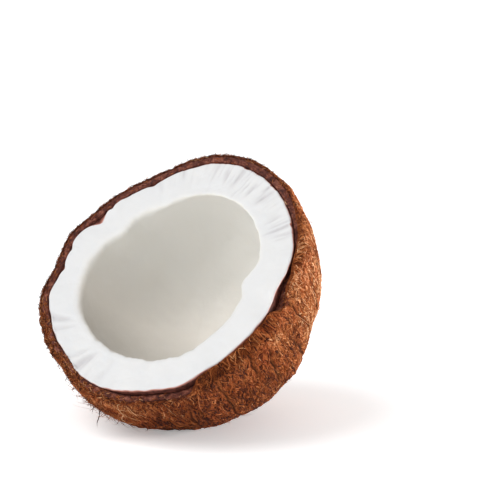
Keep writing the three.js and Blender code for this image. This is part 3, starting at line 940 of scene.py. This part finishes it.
def fibre_tones(rng, bearing, dip, tone):
    """How pale each fibre is: a random tone with a few dark ones, paler at the right and darker in the fold
    and low down, which is painted light and shade.
    """
    count = len(bearing)
    patch = 0.13 * ripples(on_layer(OUTER_RADIUS, OUTER_DEPTH, bearing, dip), 11.0, 91)
    # Painted light and shade: paler at the right, where the back light falls, and darker low down at the
    # lower right
    painted_light_and_shade = 0.26 * window(bearing, 20, 30) - 0.34 * window(bearing, 300, 40) * smoothstep((dip + 6) / 30)
    shade = np.where(rng.random(count) < 0.14, rng.uniform(0, 0.12, count), rng.normal(*tone, count))
    # Painted shade, darker in the fold
    folded = broken_rim(bearing)[1] * smoothstep(1 - (dip - rim_dip(OUTER_DEPTH, bearing)) / 6)
    return np.clip(shade + painted_light_and_shade + patch - 0.1 * folded, 0, 1)


def fibres_piece(name, material, seed, count, lengths, widths, spread, bend, lift, steps, tone, at_rim=False):
    """Strands laid over the coat, their headings spread about the line from cut to pole."""
    rng = np.random.default_rng(seed)
    count = count
    bearing, dip = scattered(rng, count)
    if at_rim:
        _, over = broken_rim(bearing)
        dip = rim_dip(OUTER_DEPTH, bearing) + rng.uniform(-FOLD_REACH * over, AT_RIM_DOWN)
    heading = rng.normal(0, spread, count) + np.where(rng.random(count) < 0.5, 0, 180)
    length = rng.uniform(*lengths, count)
    curl, wave = rng.normal(0, bend, count) / steps, rng.normal(0, bend * 0.6, count)
    bearings, dips = walk(bearing, dip, heading, length, steps, curl, wave)
    dips = np.minimum(kept_below_rim(bearings, dips), LAST_DIP)
    share = np.linspace(0, 1, steps)[None]
    height = lift * rng.uniform(-0.3, 1.0, count)[:, None]
    rise = height + lift * rng.uniform(0.3, 1.3, count)[:, None] * np.sin(np.pi * share) ** 0.7
    width = rng.uniform(*widths, count)
    tones = fibre_tones(rng, bearing, dip, tone)
    clear = clear_of_cracks(bearings, dips)
    bearings, dips = bearings[clear], dips[clear]
    paths = coat_surface(bearings, dips, rise[clear])
    return strands_piece(name, paths, outward(bearings, dips), width[clear], tones[clear], material)


def loose_hair_piece(material):
    """Hairs that stand off the coat: a few all over, more below the rim at the lower left."""
    rng = np.random.default_rng(97)
    even_b, even_d = scattered(rng, EVEN_HAIRS, 2.0, 80.0)
    tuft_b = np.concatenate([rng.normal(*tuft) for tuft in TUFTS])
    tuft_d = np.abs(rng.normal(6, 6, len(tuft_b))) + rim_dip(OUTER_DEPTH, tuft_b)
    bearing, dip = np.concatenate([even_b, tuft_b]), np.concatenate([even_d, tuft_d])
    count = len(bearing)
    length = rng.uniform(2.5, 6.5, count) + 6.0 * rng.random(count) ** 3
    out = outward(bearing, dip)
    _, around = ways_at(bearing)
    to_pole = np.cross(around, out)
    heading = np.radians(rng.normal(0, 45, count) + np.where(rng.random(count) < 0.3, 180, 0))[:, None]
    along = np.cos(heading) * to_pole + np.sin(heading) * around
    share = np.linspace(0, 1, HAIR_STEPS)[None, :, None]
    slope = rng.uniform(0.08, 0.5, count)[:, None, None]
    curl = (rng.normal(0, 0.35, count) * length)[:, None, None]
    kink = (rng.normal(0, 0.05, count) * length)[:, None, None]
    root = coat_surface(bearing, dip, np.full(count, -STRAND_SUNK))
    reach = length[:, None, None] * share
    paths = (
        root[:, None]
        + along[:, None] * reach
        + out[:, None] * (slope * reach * (1 - 0.35 * share))
        + around[:, None] * (curl * share**2 + kink * np.sin(share * 9))
    )
    # None may reach over the cut
    paths[..., 2] = np.minimum(paths[..., 2], -0.4 - rim_drop_at(paths))
    outs = np.broadcast_to(out[:, None], paths.shape)
    widths = rng.uniform(0.14, 0.3, count)
    tones = np.clip(rng.normal(0.36, 0.24, count), 0, 1)
    return strands_piece("loose_hairs", paths, outs, widths, tones, material)


def rim_fray_piece(material):
    """Short torn ends round the coat's rim, which lie any way about."""
    rng = np.random.default_rng(98)
    bearing = rng.uniform(0, 360, FRAY_COUNT)
    bearing = bearing[rng.random(FRAY_COUNT) > broken_rim(bearing)[1]]
    count = len(bearing)
    edge = coat_surface(bearing, rim_dip(OUTER_DEPTH, bearing))
    radial, around = ways_at(bearing)
    down = np.array([0, 0, -1.0])
    root = edge - radial * rng.uniform(0.0, 1.3, count)[:, None]
    way = unit(
        radial * rng.normal(0.25, 0.45, count)[:, None]
        + around * rng.normal(0, 0.9, count)[:, None]
        + down * rng.uniform(-0.12, 0.9, count)[:, None]
    )
    share = np.linspace(0, 1, RIM_STEPS)[None, :, None]
    length = rng.uniform(0.6, 2.1, count)[:, None, None]
    bend = rng.normal(0, 0.45, (count, 1, 1)) * share**2 * radial[:, None]
    paths = root[:, None] + way[:, None] * length * share + bend
    outs = np.broadcast_to(radial[:, None] * 0.6 - down * 0.8, paths.shape)
    widths = rng.uniform(0.12, 0.3, count)
    # A random tone, paler at the right as painted light, as on the coat's fibres
    tones = np.clip(rng.normal(0.3, 0.2, count) + 0.35 * window(bearing, 20, 30), 0, 1)
    return strands_piece("rim_fray", paths, outs, widths, tones, material)


def rim_thatch_piece(material):
    """Short fibres along the rim, and over the shell's too where the coat is torn at the front left."""
    rng = np.random.default_rng(96)
    count = THATCH_COUNT
    torn = rng.random(count) < 0.6
    bearing = np.where(torn, rng.normal(240, 25, count), rng.uniform(0, 360, count))
    kept = rng.random(count) > broken_rim(bearing)[1]
    bearing, torn, count = bearing[kept], torn[kept], int(kept.sum())
    radial, around = ways_at(bearing)
    up = np.array([0, 0, 1.0])
    inward = rng.uniform(0, 1, count) ** np.where(torn, 1.1, 2.5) * (COAT_THICKNESS + 0.8 * SHELL_THICKNESS)
    edge = coat_surface(bearing, rim_dip(OUTER_DEPTH, bearing))
    root = edge + radial * (0.2 - inward)[:, None] + up * rng.uniform(-0.3, 0.45, count)[:, None]
    way = unit(
        around * rng.choice([-1.0, 1.0], count)[:, None]
        + radial * rng.normal(0, 0.55, count)[:, None]
        + up * rng.normal(0, 0.16, count)[:, None]
    )
    share = np.linspace(-0.5, 0.5, RIM_STEPS)[None, :, None]
    length = rng.uniform(0.8, 3.0, count)[:, None, None]
    bend = radial[:, None] * rng.normal(0, 0.8, (count, 1, 1)) * share**2
    paths = root[:, None] + way[:, None] * length * share + bend
    widths = rng.uniform(0.16, 0.38, count)
    tones = np.clip(rng.normal(0.3, 0.24, count) + 0.1 * torn, 0, 1)
    return strands_piece("rim_thatch", paths, np.broadcast_to(up, paths.shape), widths, tones, material)


def laid_fibres_piece(material):
    """The single pale fibres that lie in curls on the coat."""
    paths, outs = [], []
    for _, _, bends in LAID:
        at = np.array(bends, float)
        share = np.linspace(0, len(at) - 1, LAID_STEPS)
        bearing, dip = (eased_through(at[:, k], share) for k in (0, 1))
        paths.append(coat_surface(bearing, dip, np.full(LAID_STEPS, LAID_LIFT)))
        outs.append(outward(bearing, dip))
    widths, tones = (np.array([row[k] for row in LAID]) for k in (0, 1))
    return strands_piece("laid_fibres", np.stack(paths), np.stack(outs), widths, tones, material)


def eased_through(values, share):
    """A smooth line through values at 0, 1, 2 and so on."""
    padded = np.concatenate([[2 * values[0] - values[1]], values, [2 * values[-1] - values[-2]]])
    i = np.minimum(share.astype(int), len(values) - 2)
    t = share - i
    a, b, c, d = (padded[i + k] for k in range(4))
    return 0.5 * (2 * b + (c - a) * t + (2 * a - 5 * b + 4 * c - d) * t**2 + (3 * b - a - 3 * c + d) * t**3)


def hanging_fibres_piece(material):
    """The single fibres that hang below the rim."""
    bearing, dip, length, lean, bend, width, tone = np.array(HANGING, float).T
    around = ways_at(bearing)[1][:, None]
    root = coat_surface(bearing, dip, np.full(len(bearing), -STRAND_SUNK))
    share = np.linspace(0, 1, HANGING_STEPS)[None, :, None]
    fall = length[:, None, None] * share
    kink = 0.08 * np.sin(share * 7 + bearing[:, None, None])
    aside = fall * (lean[:, None, None] + bend[:, None, None] * share + kink)
    paths = root[:, None] - up_in_half * fall + around * aside
    outs = np.broadcast_to(outward(bearing, dip)[:, None], paths.shape)
    return strands_piece("hanging_fibres", paths, outs, width, tone, material)


def rim_drop_at(points):
    """How far down the broken rim lies at the bearing of each point."""
    return broken_rim(np.degrees(np.arctan2(points[..., 1], points[..., 0])))[0]


# The studio

def floor():
    n = Nodes("studio_floor")
    n.surface("Base Color", (0.95, 0.965, 0.97, 1))
    n.surface("Roughness", 0.9)
    n.surface("Specular IOR Level", 0.1)
    n.surface("Emission Color", (1, 1, 1, 1))
    n.surface("Emission Strength", FLOOR_GLOW)
    far = FLOOR_REACH
    corners = [(-far, -far, 0), (far, -far, 0), (far, far, 0), (-far, far, 0)]
    mesh = bpy.data.meshes.new("studio_floor")
    mesh.from_pydata(corners, [], [(0, 1, 2, 3)])
    mesh.materials.append(n.material)
    made = add_object("studio_floor", mesh)


def add_light(name, kind, place, power, **settings):
    """A lamp at a place, turned towards the object."""
    light = bpy.data.lights.new(name, kind)
    light.energy = power
    for key, value in settings.items():
        setattr(light, key, value)
    made = add_object(name, light)
    made.location = place
    made.rotation_euler = (Vector((0, 0, 0.05)) - Vector(place)).to_track_quat("-Z", "Y").to_euler()


def studio_light():
    world = bpy.data.worlds.new("studio")
    world.use_nodes = True
    world.node_tree.nodes["Background"].inputs["Color"].default_value = (1, 1, 1, 1)
    world.node_tree.nodes["Background"].inputs["Strength"].default_value = SKY
    bpy.context.scene.world = world
    add_light("top", "SUN", (-0.4, -0.48, 0.78), 1.9, angle=math.radians(48))
    add_light("back", "AREA", (0.8, 0.6, 0.12), 12, shape="DISK", size=0.3)
    bpy.context.scene.view_settings.view_transform = "Standard"


# The photograph's view: the middle of the cut lies at a pixel of its 500 by 500 frame
VIEW_AZIMUTH, VIEW_ELEVATION = 39.4, 13.1
VIEW_DISTANCE = 0.7
METRES_PER_PIXEL = 0.37 * MM
CUT_PIXEL = (168.5, 273.5)
FRAME_PIXELS = 500
SENSOR_MM = 36.0


def camera():
    a, e = math.radians(VIEW_AZIMUTH), math.radians(VIEW_ELEVATION)
    back = Vector((math.sin(a) * math.cos(e), -math.cos(a) * math.cos(e), math.sin(e)))
    right = Vector((math.cos(a), math.sin(a), 0))
    up = back.cross(right)
    cut_middle = Vector((0, -LEAN_FORWARD, cut_height)) * MM
    place = cut_middle + back * VIEW_DISTANCE
    half = FRAME_PIXELS / 2
    aim = cut_middle + (right * (half - CUT_PIXEL[0]) + up * (CUT_PIXEL[1] - half)) * METRES_PER_PIXEL
    data = bpy.data.cameras.new("camera")
    data.sensor_width = SENSOR_MM
    data.lens = SENSOR_MM * VIEW_DISTANCE / (FRAME_PIXELS * METRES_PER_PIXEL)
    made = add_object("camera", data)
    made.location = place
    made.rotation_euler = (aim - place).to_track_quat("-Z", "Y").to_euler()
    bpy.context.scene.camera = made


camera()
floor()
studio_light()
flesh_piece(flesh_material())
shell_piece(shell_material())
coat_piece(coat_material())

# The fibres' colours, from the darkest tone to the palest
BROWN_STOPS = [
    (0.05, rgb(58, 22, 10)),
    (0.35, rgb(145, 74, 34)),
    (0.62, rgb(190, 117, 67)),
    (0.95, rgb(228, 178, 132)),
]
PALE_STOPS = [
    (0.05, rgb(74, 30, 15)),
    (0.4, rgb(150, 82, 44)),
    (0.7, rgb(198, 130, 82)),
    (0.95, rgb(238, 190, 144)),
]
DARK_STOPS = [
    (0.05, rgb(44, 18, 14)),
    (0.4, rgb(92, 46, 36)),
    (0.7, rgb(140, 82, 60)),
    (0.95, rgb(196, 142, 108)),
]
brown = strand_material("brown_fibre", BROWN_STOPS)
pale = strand_material("pale_fibre", PALE_STOPS)
dark = strand_material("dark_fibre", DARK_STOPS)
fibres_piece("felted_fibres", brown, **FELTED)
fibres_piece("matted_fibres", brown, **MATTED)
fibres_piece("long_fibres", pale, **LONG)
fibres_piece("edge_fibres", brown, at_rim=True, **EDGE)
loose_hair_piece(pale)
rim_fray_piece(dark)
rim_thatch_piece(brown)
laid_fibres_piece(pale)
hanging_fibres_piece(dark)
